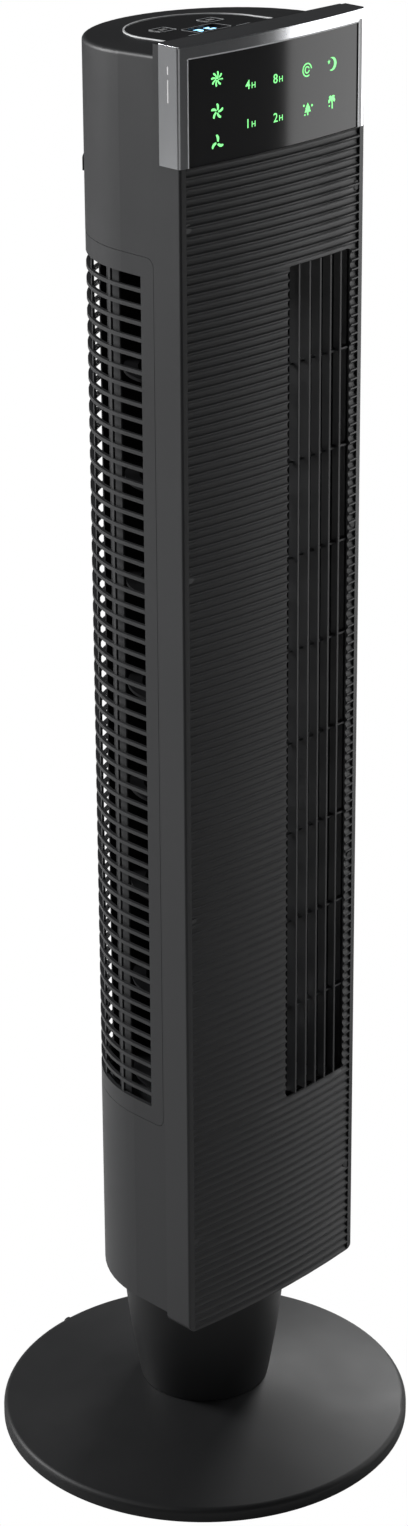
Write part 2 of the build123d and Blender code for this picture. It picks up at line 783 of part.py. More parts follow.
board_face_y = -56.5
with BuildPart() as display_board:
    with BuildSketch(Plane.XZ.offset(-board_face_y - 1.6)):
        with Locations((0, (display_bottom + display_top) / 2)):
            Rectangle(138, 56)
            with GridLocations(128, 46, 2, 2):
                Circle(1.6, mode=Mode.SUBTRACT)
    extrude(amount=1.6)
display_board.part.label = "display_board"
export_step(display_board.part, "parts/display_board.step")

with BuildPart() as board_spacers:
    with BuildSketch(Plane.XZ.offset(-bezel_back_y + 2.1)):
        with Locations((0, (display_bottom + display_top) / 2)):
            with GridLocations(128, 46, 2, 2):
                Circle(2.8)
    extrude(amount=-board_face_y - 1.6 + bezel_back_y - 2.1)
board_spacers.part.label = "board_spacers"
export_step(board_spacers.part, "parts/board_spacers.step")

# One lamp behind each symbol of the display: three speeds, four timer steps, four modes.
lamp_places = [(-51, z) for z in (954.5, 973.5, 992.5)]
lamp_places += [(x, z) for x in (-25.5, -2.0, 24.5, 48.0) for z in (961.8, 986.0)]
with BuildPart() as display_lamps:
    with BuildSketch(Plane.XZ.offset(-board_face_y)):
        with Locations(*lamp_places):
            Rectangle(3.2, 2.8)
    extrude(amount=1.6)
display_lamps.part.label = "display_lamps"
export_step(display_lamps.part, "parts/display_lamps.step")


# ================================================================ CONTROL PANEL
def panel_section(radius, front_y):
    """Plan of the control panel: half round behind, straight sides, square at the bezel."""
    with BuildSketch() as section:
        with BuildLine():
            Line((-radius, front_y), (-radius, panel_centre_y))
            ThreePointArc(
                (-radius, panel_centre_y),
                (0, panel_centre_y + radius),
                (radius, panel_centre_y),
            )
            Polyline((radius, panel_centre_y), (radius, front_y), (-radius, front_y))
        make_face()
    return section.sketch


key_places = {
    key_names[row][column]: (side * key_x, key_rows[row])
    for row in range(2)
    for column, side in enumerate((-1, 1))
}
panel_front = seam_y + 0.2
digit_place = (0, -9.5)
digit_size = (23.0, 12.5)
with BuildPart() as control_panel:
    with BuildSketch(top_plane.offset(-panel_ledge)):
        add(panel_section(panel_radius, panel_front))
        for place in key_places.values():
            with Locations(place):
                RectangleRounded(key_size + 2 * gap, key_size + 2 * gap, 2.4, mode=Mode.SUBTRACT)
        with Locations(digit_place):
            Rectangle(*digit_size, mode=Mode.SUBTRACT)
    extrude(amount=panel_ledge + 0.3)
control_panel.part.label = "control_panel"
export_step(control_panel.part, "parts/control_panel.step")

with BuildPart() as panel_ring:
    with BuildSketch(top_plane.offset(-panel_ledge)):
        add(panel_section(panel_radius + 1.1, panel_front))
        add(panel_section(panel_radius + 0.05, panel_front - 5), mode=Mode.SUBTRACT)
    extrude(amount=panel_ledge + 0.7)
panel_ring.part.label = "panel_ring"
export_step(panel_ring.part, "parts/panel_ring.step")

# Push keys: a cap in the panel's aperture, a flange below it and a plunger on the switch.
board_depth = -9.0
switch_height = 2.4
for name, place in key_places.items():
    with BuildPart() as key:
        with BuildSketch(top_plane.offset(-panel_ledge - gap)):
            with Locations(place):
                RectangleRounded(key_size, key_size, 2.1)
        extrude(amount=panel_ledge + gap + 0.6)
        fillet(key.faces().sort_by(Axis((0, 0, 0), top_plane.z_dir))[-1].edges(), 0.3)
        with BuildSketch(top_plane.offset(-panel_ledge - gap)):
            with Locations(place):
                RectangleRounded(key_size + 3, key_size + 3, 2.4)
        extrude(amount=-1.2)
        with BuildSketch(top_plane.offset(-panel_ledge - gap - 1.2)):
            with Locations(place):
                Circle(2.0)
        extrude(amount=board_depth + switch_height + panel_ledge + gap + 1.2 + key_travel + 0.1)
    key.part.label = name
    export_step(key.part, f"parts/{name}.step")

with BuildPart() as control_board:
    with BuildSketch(top_plane.offset(board_depth - 1.6)):
        with Locations((0, -9.5)):
            Rectangle(66, 62)
    extrude(amount=1.6)
control_board.part.label = "control_board"
export_step(control_board.part, "parts/control_board.step")

with BuildPart() as key_switches:
    with BuildSketch(top_plane.offset(board_depth)):
        with Locations(*key_places.values()):
            Rectangle(6, 6)
    extrude(amount=switch_height)
key_switches.part.label = "key_switches"
export_step(key_switches.part, "parts/key_switches.step")

with BuildPart() as digit_display:
    with BuildSketch(top_plane.offset(board_depth)):
        with Locations(digit_place):
            Rectangle(digit_size[0] - 0.4, digit_size[1] - 0.4)
    extrude(amount=-board_depth - 0.6)
digit_display.part.label = "digit_display"
export_step(digit_display.part, "parts/digit_display.step")

# ================================================================ BLOWER
blower_axis_plane = Plane(origin=(blower_x, blower_y, 0))


def polar(radius, angle):
    """Point at radius and angle about the blower's axis."""
    return (blower_x + radius * cos(radians(angle)), blower_y + radius * sin(radians(angle)))


def bracket_section():
    """Plan of the plates at the two ends of the air duct."""
    with BuildSketch() as section:
        add(d_section(4.2, -33.5))
        with Locations((0, -46)):
            Rectangle(138, 26)
    return section.sketch


motor_eye_radius = 48.0
loom_x = 75.0
loom_y = -20.0
loom_radius = 2.0
with BuildPart() as lower_bracket:
    with BuildSketch(Plane.XY.offset(duct_bottom - bracket_thickness)):
        add(bracket_section())
        with Locations((blower_x, blower_y)):
            Circle(shaft_radius + 4, mode=Mode.SUBTRACT)
            with PolarLocations(motor_eye_radius, 4, start_angle=45):
                Circle(2.2, mode=Mode.SUBTRACT)
        with Locations((loom_x, loom_y)):
            Circle(loom_radius + 1.5, mode=Mode.SUBTRACT)
    extrude(amount=bracket_thickness)
lower_bracket.part.label = "lower_bracket"
export_step(lower_bracket.part, "parts/lower_bracket.step")

with BuildPart() as upper_bracket:
    with BuildSketch(Plane.XY.offset(duct_top)):
        add(bracket_section())
        with Locations((blower_x, blower_y)):
            Circle(14, mode=Mode.SUBTRACT)
        with Locations((loom_x, loom_y)):
            Circle(loom_radius + 1.5, mode=Mode.SUBTRACT)
    extrude(amount=bracket_thickness)
    with BuildSketch(Plane.XY.offset(duct_top)):
        with Locations((blower_x, blower_y)):
            Circle(17)
            Circle(14, mode=Mode.SUBTRACT)
    extrude(amount=9)
upper_bracket.part.label = "upper_bracket"
export_step(upper_bracket.part, "parts/upper_bracket.step")

with BuildPart() as bearing_rubber:
    with BuildSketch(Plane.XY.offset(duct_top)):
        with Locations((blower_x, blower_y)):
            Circle(13.95)
            Circle(8, mode=Mode.SUBTRACT)
    extrude(amount=9)
bearing_rubber.part.label = "bearing_rubber"
export_step(bearing_rubber.part, "parts/bearing_rubber.step")

with BuildPart() as bearing_bush:
    with BuildSketch(Plane.XY.offset(duct_top)):
        with Locations((blower_x, blower_y)):
            Circle(7.95)
            Circle(shaft_radius + running, mode=Mode.SUBTRACT)
    extrude(amount=9)
bearing_bush.part.label = "bearing_bush"
export_step(bearing_bush.part, "parts/bearing_bush.step")

# Rear wall of the duct: a spiral about the blower that opens towards the outlet.
spiral_start = 100.0
spiral_gap = 4.5
duct_wall = 2.0


def spiral_point(angle, outside):
    """Rear wall at angle; it opens by the square root of the angle turned."""
    turned = (spiral_start - angle) / 130.0
    return polar(blade_radius + spiral_gap + 22.0 * turned**1.35 + outside, angle)


spiral_angles = [100, 74, 48, 22, -4, -26]
with BuildPart() as scroll_housing:
    with BuildSketch(Plane.XY.offset(duct_bottom)):
        with BuildLine():
            near = [(-37, 50.5), (-27.5, 48.6)]
            far = [(-36.2, 52.6), (-26.6, 50.8)]
            Spline(*near, *[spiral_point(angle, 0) for angle in spiral_angles], (68.8, -58.3))
            Line((68.8, -58.3), (70.8, -58.3))
            Spline(
                (70.8, -58.3),
                *[spiral_point(angle, duct_wall) for angle in reversed(spiral_angles)],
                far[1],
                far[0],
            )
            Line(far[0], near[0])
        make_face()
    extrude(amount=duct_top - duct_bottom)
scroll_housing.part.label = "scroll_housing"
export_step(scroll_housing.part, "parts/scroll_housing.step")

# Vortex tongue: from the outlet's inner side, back to the blower, and along it.
tongue_gap = 5.0
tongue_wall = 1.8
with BuildPart() as vortex_tongue:
    with BuildSketch(Plane.XY.offset(duct_bottom)):
        with BuildLine():
            near_radius = blade_radius + tongue_gap
            far_radius = near_radius + tongue_wall
            ThreePointArc(
                polar(near_radius, -84), polar(near_radius, -105), polar(near_radius, -126)
            )
            Line(polar(near_radius, -126), polar(far_radius, -126))
            ThreePointArc(
                polar(far_radius, -126), polar(far_radius, -105), polar(far_radius, -88)
            )
            Polyline(
                polar(far_radius, -88),
                (outlet_left - 3.2, collar_back + 0.1),
                (outlet_left - 1.4, collar_back + 0.1),
                polar(near_radius, -84),
            )
        make_face()
    extrude(amount=duct_top - duct_bottom)
vortex_tongue.part.label = "vortex_tongue"
export_step(vortex_tongue.part, "parts/vortex_tongue.step")

# Impeller: curved blades through ring discs, a hub disc at each end.
section_height = (blower_top - blower_bottom) / blower_sections
ring_thickness = 2.0
with BuildPart() as impeller:
    with BuildSketch(blower_axis_plane.offset(blower_bottom + 0.5)):
        with PolarLocations(0, blade_count):
            with BuildLine():
                ThreePointArc((blade_inner_radius + 0.4, 0), (41.4, 2.5), (44.2, 6.4))
                Line((44.2, 6.4), (43.2, 7.0))
                ThreePointArc((43.2, 7.0), (40.6, 3.4), (blade_inner_radius + 0.4, 1.3))
                Line((blade_inner_radius + 0.4, 1.3), (blade_inner_radius + 0.4, 0))
            make_face()
    extrude(amount=blower_top - blower_bottom - 1)
    ring_heights = [blower_bottom + section_height * i - ring_thickness / 2
                    for i in range(1, blower_sections)]
    with BuildSketch(*[blower_axis_plane.offset(height) for height in ring_heights]):
        Circle(blade_radius)
        Circle(blade_inner_radius - 1, mode=Mode.SUBTRACT)
    extrude(amount=ring_thickness)
    with BuildSketch(
        blower_axis_plane.offset(blower_bottom),
        blower_axis_plane.offset(blower_top - ring_thickness),
    ):
        Circle(blade_radius)
        Circle(9, mode=Mode.SUBTRACT)
    extrude(amount=ring_thickness)
impeller.part.label = "impeller"
export_step(impeller.part, "parts/impeller.step")

with BuildPart() as drive_hub:
    with BuildSketch(blower_axis_plane.offset(blower_bottom - 2)):
        Circle(8.95)
    extrude(amount=20)
    with BuildSketch(blower_axis_plane.offset(blower_bottom + ring_thickness)):
        Circle(13)
    extrude(amount=3)
    with BuildSketch(blower_axis_plane.offset(blower_bottom - 2)):
        Circle(shaft_radius + 0.02)
    extrude(amount=20, mode=Mode.SUBTRACT)
drive_hub.part.label = "drive_hub"
export_step(drive_hub.part, "parts/drive_hub.step")

with BuildPart() as end_shaft:
    with BuildSketch(blower_axis_plane.offset(blower_top - ring_thickness)):
        Circle(8.95)
    extrude(amount=ring_thickness)
    with BuildSketch(blower_axis_plane.offset(blower_top - ring_thickness - 2)):
        Circle(12)
    extrude(amount=2)
    with BuildSketch(blower_axis_plane.offset(blower_top - ring_thickness)):
        Circle(shaft_radius)
    extrude(amount=duct_top + 11 - blower_top + ring_thickness)
end_shaft.part.label = "end_shaft"
export_step(end_shaft.part, "parts/end_shaft.step")

# Motor under the lower bracket: can, stator, and a rotor on the shaft.
can_bottom = 198.0
can_top = duct_bottom - bracket_thickness - 6.0
can_radius = 41.0
with BuildPart() as motor_can:
    with BuildSketch(blower_axis_plane.offset(can_bottom)):
        Circle(can_radius)
    extrude(amount=can_top - can_bottom)
    fillet(motor_can.edges().filter_by(GeomType.CIRCLE), 3)
    with BuildSketch(blower_axis_plane.offset(can_bottom + 2)):
        Circle(can_radius - 2)
    extrude(amount=can_top - can_bottom - 4, mode=Mode.SUBTRACT)
    with BuildSketch(blower_axis_plane.offset(can_top - 4)):
        with PolarLocations(motor_eye_radius - 3, 4, start_angle=45):
            Rectangle(18, 12)
        with PolarLocations(motor_eye_radius, 4, start_angle=45):
            Circle(2.2, mode=Mode.SUBTRACT)
        Circle(can_radius - 1, mode=Mode.SUBTRACT)
    extrude(amount=2)
    with BuildSketch(blower_axis_plane.offset(can_bottom)):
        Circle(9)
    extrude(amount=6)
    with BuildSketch(blower_axis_plane.offset(can_top - 6)):
        Circle(9)
    extrude(amount=6)
    with BuildSketch(blower_axis_plane.offset(can_bottom)):
        Circle(shaft_radius + running)
    extrude(amount=can_top - can_bottom, mode=Mode.SUBTRACT)
motor_can.part.label = "motor_can"
export_step(motor_can.part, "parts/motor_can.step")

stator_bottom = 214.0
stator_height = 34.0
with BuildPart() as motor_stator:
    with BuildSketch(blower_axis_plane.offset(stator_bottom)):
        Circle(can_radius - 2.05)
        Circle(23, mode=Mode.SUBTRACT)
        with PolarLocations(31.0, 12):
            RectangleRounded(10, 5, 1.5, mode=Mode.SUBTRACT)
    extrude(amount=stator_height)
motor_stator.part.label = "motor_stator"
export_step(motor_stator.part, "parts/motor_stator.step")

with BuildPart() as motor_rotor:
    with BuildSketch(blower_axis_plane.offset(stator_bottom)):
        Circle(22.4)
    extrude(amount=stator_height)
    with BuildSketch(blower_axis_plane.offset(can_bottom - 6)):
        Circle(shaft_radius)
    extrude(amount=blower_bottom + 18 - can_bottom + 6)
motor_rotor.part.label = "motor_rotor"
export_step(motor_rotor.part, "parts/motor_rotor.step")

with BuildPart() as motor_cushions:
    with BuildSketch(blower_axis_plane.offset(can_top - 2)):
        with PolarLocations(motor_eye_radius, 4, start_angle=45):
            Circle(5)
            Circle(2.15, mode=Mode.SUBTRACT)
    extrude(amount=duct_bottom - bracket_thickness - can_top + 2)
motor_cushions.part.label = "motor_cushions"
export_step(motor_cushions.part, "parts/motor_cushions.step")

with BuildPart() as motor_screws:
    with BuildSketch(blower_axis_plane.offset(can_top - 4)):
        with PolarLocations(motor_eye_radius, 4, start_angle=45):
            Circle(3.6)
    extrude(amount=-2.4)
    with BuildSketch(blower_axis_plane.offset(can_top - 4.1)):
        with PolarLocations(motor_eye_radius, 4, start_angle=45):
            Circle(2.0)
    extrude(amount=duct_bottom + 3 - can_top + 4)
motor_screws.part.label = "motor_screws"
export_step(motor_screws.part, "parts/motor_screws.step")

# ================================================================ OSCILLATION DRIVE, ELECTRICS
pinion_distance = gear_module * (fixed_teeth + pinion_teeth) / 2
pinion_plane = Plane(origin=(0, -pinion_distance, 0))
drive_shaft_radius = 3.0
drive_motor_bottom = 158.0
with BuildPart() as osc_pinion:
    with BuildSketch(pinion_plane.offset(gear_bottom + 0.2)):
        add(gear_outline(pinion_teeth, 6))
    extrude(amount=gear_height - 0.4)
    with BuildSketch(pinion_plane.offset(gear_bottom + 0.2)):
        Circle(drive_shaft_radius)
    extrude(amount=drive_motor_bottom + 8 - gear_bottom)
osc_pinion.part.label = "osc_pinion"
export_step(osc_pinion.part, "parts/osc_pinion.step")

with BuildPart() as osc_motor:
    with BuildSketch(pinion_plane.offset(drive_motor_bottom)):
        Circle(24.5)
        Circle(drive_shaft_radius + running, mode=Mode.SUBTRACT)
    extrude(amount=3)
    with BuildSketch(pinion_plane.offset(drive_motor_bottom + 3)):
        Circle(24.5)
        Circle(drive_shaft_radius + 1, mode=Mode.SUBTRACT)
    extrude(amount=7)
    with BuildSketch(pinion_plane.offset(drive_motor_bottom + 10)):
        Circle(24.5)
    extrude(amount=7)
    fillet(osc_motor.edges().filter_by(GeomType.CIRCLE).group_by(Axis.Z)[-1], 1.5)
osc_motor.part.label = "osc_motor"
export_step(osc_motor.part, "parts/osc_motor.step")

with BuildPart() as osc_bracket:
    with BuildSketch(Plane.XY.offset(drive_motor_bottom - 2.5)):
        with Locations((0, -pinion_distance)):
            Rectangle(76, 15)
            Circle(drive_shaft_radius + 3, mode=Mode.SUBTRACT)
    extrude(amount=2.5)
    with BuildSketch(Plane.XY.offset(body_bottom + 3)):
        with Locations((0, -pinion_distance)):
            with GridLocations(73.5, 1, 2, 1):
                Rectangle(2.5, 15)
    extrude(amount=drive_motor_bottom - body_bottom - 3)
    with BuildSketch(Plane.XY.offset(body_bottom + 3)):
        with Locations((0, -pinion_distance)):
            with GridLocations(84, 1, 2, 1):
                Rectangle(13, 15)
    extrude(amount=2.5)
osc_bracket.part.label = "osc_bracket"
export_step(osc_bracket.part, "parts/osc_bracket.step")

power_board_y = 48.0
with BuildPart() as power_board:
    with BuildSketch(Plane.XZ.offset(-power_board_y - 1.6)):
        with Locations((0, 216)):
            Rectangle(76, 96)
            with GridLocations(66, 86, 2, 2):
                Circle(1.7, mode=Mode.SUBTRACT)
    extrude(amount=1.6)
power_board.part.label = "power_board"
export_step(power_board.part, "parts/power_board.step")

with BuildPart() as transformer:
    with BuildSketch(Plane.XZ.offset(-power_board_y - 1.6)):
        with Locations((0, 235)):
            Rectangle(24, 20)
    extrude(amount=-9.5)
transformer.part.label = "transformer"
export_step(transformer.part, "parts/transformer.step")

with BuildPart() as run_capacitor:
    with BuildSketch(Plane.XZ.offset(-power_board_y)):
        with Locations((0, 182)):
            RectangleRounded(38, 22, 1.5)
    extrude(amount=18)
run_capacitor.part.label = "run_capacitor"
export_step(run_capacitor.part, "parts/run_capacitor.step")

# Board carrier: a pair of brackets between the bottom cover and the power board.
with BuildPart() as board_bracket:
    with BuildSketch(Plane.XY.offset(body_bottom + 3)):
        with Locations((0, power_board_y - 6)):
            with GridLocations(62, 1, 2, 1):
                Rectangle(12, 12)
    extrude(amount=2)
    with BuildSketch(Plane.XY.offset(body_bottom + 3)):
        with Locations((0, power_board_y - 1)):
            with GridLocations(62, 1, 2, 1):
                Rectangle(12, 2)
    extrude(amount=50)
board_bracket.part.label = "board_bracket"
export_step(board_bracket.part, "parts/board_bracket.step")

# Wiring loom, held all the way: from the power board up beside the duct to the control board.
loom_points = [
    (39.5, 46, 246),
    (58, 30, 250),
    (loom_x, loom_y, 250),
    (loom_x, loom_y, 900),
    (60, -8, 930),
    (45, 0, 955),
    (30, 0, 985),
]
with BuildPart() as wiring_loom:
    with BuildLine() as loom_path:
        FilletPolyline(*loom_points, radius=[10, 12, 14, 10, 14])
    with BuildSketch(Plane(origin=loom_path.line @ 0, z_dir=loom_path.line % 0)):
        Circle(loom_radius)
    sweep()
wiring_loom.part.label = "wiring_loom"
export_step(wiring_loom.part, "parts/wiring_loom.step")
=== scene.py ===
import json
from math import asin, cos, pi, radians, sin, sqrt

import bpy
from mathutils import Matrix, Vector


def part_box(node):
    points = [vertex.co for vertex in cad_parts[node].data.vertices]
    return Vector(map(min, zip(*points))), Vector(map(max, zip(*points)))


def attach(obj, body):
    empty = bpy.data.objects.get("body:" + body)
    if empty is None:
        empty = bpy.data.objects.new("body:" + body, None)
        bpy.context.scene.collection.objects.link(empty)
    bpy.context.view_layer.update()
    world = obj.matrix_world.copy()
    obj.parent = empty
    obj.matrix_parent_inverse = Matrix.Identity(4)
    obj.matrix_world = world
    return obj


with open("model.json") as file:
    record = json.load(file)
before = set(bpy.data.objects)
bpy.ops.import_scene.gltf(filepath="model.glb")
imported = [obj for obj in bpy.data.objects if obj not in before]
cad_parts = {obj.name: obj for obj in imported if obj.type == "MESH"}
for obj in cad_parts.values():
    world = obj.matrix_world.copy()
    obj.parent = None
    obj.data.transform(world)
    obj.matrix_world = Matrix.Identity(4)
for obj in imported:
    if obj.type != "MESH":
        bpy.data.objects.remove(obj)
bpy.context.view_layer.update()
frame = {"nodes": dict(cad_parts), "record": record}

nodes = frame["nodes"]
MM = 0.001

# ------------------------------------------------------------------ camera
AZIMUTH = radians(-44.6043)
ELEVATION = radians(23.3748)
ROLL = radians(-0.3714)
CAMERA_PLACE = Vector((-1.54940, -1.57422, 1.46558))
SENSOR_WIDTH = 36
FOCAL_LENGTH = 84.47

look = -Vector((sin(AZIMUTH) * cos(ELEVATION), -cos(AZIMUTH) * cos(ELEVATION), sin(ELEVATION)))
level = Vector((cos(AZIMUTH), sin(AZIMUTH), 0))
upward = level.cross(look)
right = cos(ROLL) * level + sin(ROLL) * upward
up = -sin(ROLL) * level + cos(ROLL) * upward
camera_data = bpy.data.cameras.new("camera")
camera_data.sensor_width = SENSOR_WIDTH
camera_data.lens = FOCAL_LENGTH
camera = bpy.data.objects.new("camera", camera_data)
turn = Matrix((right, up, -look)).transposed().to_4x4()
camera.matrix_world = Matrix.Translation(CAMERA_PLACE) @ turn
bpy.context.scene.collection.objects.link(camera)
bpy.context.scene.camera = camera


# ------------------------------------------------------------------ materials
def shader(name, colour, roughness, metallic=0.0, specular=0.5, coat=0.0, coat_roughness=0.1,
           emission=None, strength=0.0, grain=2600.0, bump=0.12, mottle=0.10, wear=0.10,
           streak=None):
    """Moulded or metal surface: fine grain in the bump, slow drift in colour and roughness."""
    material = bpy.data.materials.new(name)
    material.use_nodes = True
    tree = material.node_tree
    tree.nodes.clear()
    link = tree.links.new
    output = tree.nodes.new("ShaderNodeOutputMaterial")
    surface = tree.nodes.new("ShaderNodeBsdfPrincipled")
    link(surface.outputs["BSDF"], output.inputs["Surface"])
    surface.inputs["Metallic"].default_value = metallic
    surface.inputs["Specular IOR Level"].default_value = specular
    surface.inputs["Coat Weight"].default_value = coat
    surface.inputs["Coat Roughness"].default_value = coat_roughness
    if emission:
        surface.inputs["Emission Color"].default_value = (*emission, 1)
        surface.inputs["Emission Strength"].default_value = strength
    place = tree.nodes.new("ShaderNodeTexCoord")
    mapping = tree.nodes.new("ShaderNodeMapping")
    link(place.outputs["Object"], mapping.inputs["Vector"])
    if streak:
        mapping.inputs["Scale"].default_value = streak
    slow = tree.nodes.new("ShaderNodeTexNoise")
    slow.inputs["Scale"].default_value = 9.0
    slow.inputs["Detail"].default_value = 6.0
    slow.inputs["Roughness"].default_value = 0.6
    link(mapping.outputs["Vector"], slow.inputs["Vector"])
    tint = tree.nodes.new("ShaderNodeValToRGB")
    low = [c * (1 - mottle) for c in colour]
    high = [min(1.0, c * (1 + mottle)) for c in colour]
    tint.color_ramp.elements[0].position = 0.3
    tint.color_ramp.elements[1].position = 0.7
    tint.color_ramp.elements[0].color = (*low, 1)
    tint.color_ramp.elements[1].color = (*high, 1)
    link(slow.outputs["Fac"], tint.inputs["Fac"])
    link(tint.outputs["Color"], surface.inputs["Base Color"])
    drift = tree.nodes.new("ShaderNodeMapRange")
    drift.inputs["From Min"].default_value = 0.3
    drift.inputs["From Max"].default_value = 0.7
    drift.inputs["To Min"].default_value = max(0.02, roughness * (1 - wear))
    drift.inputs["To Max"].default_value = min(1.0, roughness * (1 + wear))
    link(slow.outputs["Fac"], drift.inputs["Value"])
    link(drift.outputs["Result"], surface.inputs["Roughness"])
    if bump:
        fine = tree.nodes.new("ShaderNodeTexNoise")
        fine.inputs["Scale"].default_value = grain
        fine.inputs["Detail"].default_value = 3.0
        link(mapping.outputs["Vector"], fine.inputs["Vector"])
        relief = tree.nodes.new("ShaderNodeBump")
        relief.inputs["Strength"].default_value = bump
        relief.inputs["Distance"].default_value = 0.0002
        link(fine.outputs["Fac"], relief.inputs["Height"])
        link(relief.outputs["Normal"], surface.inputs["Normal"])
    return material


materials = {
    "charcoal": shader("charcoal_plastic", (0.026, 0.0265, 0.028), 0.50, specular=0.40),
    "front": shader("front_plastic", (0.024, 0.0245, 0.026), 0.44, specular=0.45),
    "grille": shader("grille_plastic", (0.026, 0.0265, 0.028), 0.50, specular=0.40),
    "inner_black": shader("inner_plastic", (0.007, 0.007, 0.008), 0.75, specular=0.15),
    "panel_black": shader("panel_gloss", (0.006, 0.006, 0.007), 0.07, specular=0.5, bump=0.0,
                          mottle=0.05),
    "bezel_silver": shader("bezel_silver", (0.80, 0.81, 0.83), 0.13, metallic=1.0, bump=0.02,
                           mottle=0.03, streak=(40, 1, 1)),
    "lens_black": shader("lens_gloss", (0.030, 0.030, 0.031), 0.10, specular=0.5, bump=0.0,
                         mottle=0.05),
    "silver": shader("silver_ring", (0.85, 0.86, 0.87), 0.35, bump=0.03, mottle=0.03),
    "key_black": shader("key_gloss", (0.007, 0.007, 0.008), 0.14, specular=0.5, bump=0.03),
    "rubber": shader("rubber", (0.018, 0.018, 0.018), 0.8, specular=0.25, grain=1200, bump=0.3),
    "steel": shader("zinc_steel", (0.52, 0.53, 0.54), 0.3, metallic=1.0, grain=900, bump=0.1),
    "plated_steel": shader("galvanised", (0.42, 0.43, 0.44), 0.42, metallic=1.0, grain=260,
                           bump=0.15, mottle=0.2),
    "nylon": shader("nylon", (0.62, 0.6, 0.54), 0.45, specular=0.4),
    "board": shader("circuit_board", (0.02, 0.09, 0.03), 0.35, coat=0.3, grain=700, bump=0.2),
    "lamp": shader("lit_symbol", (0.5, 0.9, 0.55), 0.5, emission=(0.16, 0.85, 0.20),
                   strength=1.3, bump=0.0, mottle=0.04),
    "digits": shader("digit_face", (0.01, 0.012, 0.016), 0.2, bump=0.0),
    "copper": shader("winding", (0.45, 0.2, 0.09), 0.35, metallic=0.8, grain=1500, bump=0.4),
    "bronze": shader("bronze", (0.5, 0.3, 0.12), 0.4, metallic=1.0, grain=1500, bump=0.2),
    "transformer": shader("taped_coil", (0.6, 0.42, 0.05), 0.4, grain=1500, bump=0.2),
    "component": shader("component", (0.03, 0.03, 0.035), 0.4),
    "capacitor": shader("capacitor", (0.7, 0.7, 0.68), 0.3),
    "wire": shader("wire_sleeve", (0.02, 0.02, 0.02), 0.5),
}
glow_white = shader("lit_digit", (0.7, 0.85, 0.95), 0.5, emission=(0.25, 0.55, 0.85),
                    strength=1.6, bump=0.0)
mark_white = shader("printed_mark", (0.8, 0.8, 0.8), 0.4, bump=0.0, mottle=0.03)
# light grey: printed frame round the digits, and painted highlight ringing each key
frame_print_and_key_highlight_grey = shader("printed_frame_and_painted_key_highlight", (0.75, 0.77, 0.79), 0.4, bump=0.0, mottle=0.03)

# painted shade: the base and neck get a darker copy of the tower charcoal, standing in for less
# light on them than on the tower
base_painted_shade = shader("painted_shade_base_plastic", (0.0125, 0.0128, 0.0135), 0.50, specular=0.30)

for entry in frame["record"]["subparts"]:
    mesh = nodes[entry["node"]].data
    mesh.materials.clear()
    # painted shade: darker charcoal copy on the base and neck
    if entry["node"] in ("base_cover", "neck"):
        mesh.materials.append(base_painted_shade)
    else:
        mesh.materials.append(materials[entry["material_slot"]])


# ------------------------------------------------------------------ flat artwork
def flat_mesh(name, outlines, thickness):
    """Mesh of filled outlines (lists of (x, y) in millimetres) in the XY plane."""
    curve = bpy.data.curves.new(name, "CURVE")
    curve.dimensions = "2D"
    curve.fill_mode = "BOTH"
    curve.extrude = thickness * MM / 2
    for outline in outlines:
        spline = curve.splines.new("POLY")
        spline.points.add(len(outline) - 1)
        for point, (x, y) in zip(spline.points, outline):
            point.co = (x * MM, y * MM, 0, 1)
        spline.use_cyclic_u = True
    holder = bpy.data.objects.new(name, curve)
    bpy.context.scene.collection.objects.link(holder)
    bpy.context.view_layer.update()
    mesh = bpy.data.meshes.new_from_object(holder)
    bpy.data.objects.remove(holder)
    mesh.name = name
    return mesh


def add_piece(name, mesh, material, placing, body):
    """Piece from a mesh, put at its place, riding on a body."""
    piece = bpy.data.objects.new(name, mesh)
    mesh.materials.clear()
    mesh.materials.append(material)
    piece.matrix_world = placing
    bpy.context.scene.collection.objects.link(piece)
    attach(piece, body)
    return piece


def circle(x, y, radius, count=32, start=0.0, end=2 * pi):
    """Points round a circle."""
    return [(x + radius * cos(start + (end - start) * i / count),
             y + radius * sin(start + (end - start) * i / count)) for i in range(count)]


def arc_band(radius, width, start, end, count=40):
    """Closed outline of an arc drawn with a pen of that width, angles in degrees."""
    angles = [radians(start + (end - start) * i / count) for i in range(count + 1)]
    outer = [((radius + width / 2) * cos(a), (radius + width / 2) * sin(a)) for a in angles]
    inner = [((radius - width / 2) * cos(a), (radius - width / 2) * sin(a)) for a in angles]
    return outer + inner[::-1]


def moved(outline, x, y, scale=1.0, turn=0.0):
    """Outline turned, scaled and moved."""
    c, s = cos(radians(turn)), sin(radians(turn))
    return [(x + scale * (c * px - s * py), y + scale * (s * px + c * py)) for px, py in outline]


def bar(x, y, width, height):
    """Rectangle centred at x, y."""
    w, h = width / 2, height / 2
    return [(x - w, y - h), (x + w, y - h), (x + w, y + h), (x - w, y + h)]


def rounded(x, y, width, height, radius, count=6):
    """Rounded rectangle centred at x, y."""
    points = []
    for sx, sy, first in ((1, 1, 0), (-1, 1, 90), (-1, -1, 180), (1, -1, 270)):
        cx = x + sx * (width / 2 - radius)
        cy = y + sy * (height / 2 - radius)
        for i in range(count + 1):
            a = radians(first + 90 * i / count)
            points.append((cx + radius * cos(a), cy + radius * sin(a)))
    return points


def fan_blade(size, sweep):
    """One swept fan blade from the hub outwards."""
    lead = []
    trail = []
    for i in range(13):
        t = i / 12
        r = 0.8 + (size - 0.8) * t
        middle = sweep * t
        half = (0.62 + 1.25 * sin(pi * min(1.0, 0.18 + 0.72 * t))) * 0.62
        if i == 12:
            half *= 0.45
        lead.append((r * cos(middle) - half * sin(middle), r * sin(middle) + half * cos(middle)))
        trail.append((r * cos(middle) + half * sin(middle), r * sin(middle) - half * cos(middle)))
    return lead + trail[::-1]


def fan_symbol(blades, size, width):
    """Fan with that many separate blades round its hub."""
    outlines = []
    for i in range(blades):
        blade = [(x, y * width) for x, y in fan_blade(size, 0.75)]
        outlines.append(moved(blade, 0, 0, 1.0, 66 + 360 * i / blades))
    return outlines


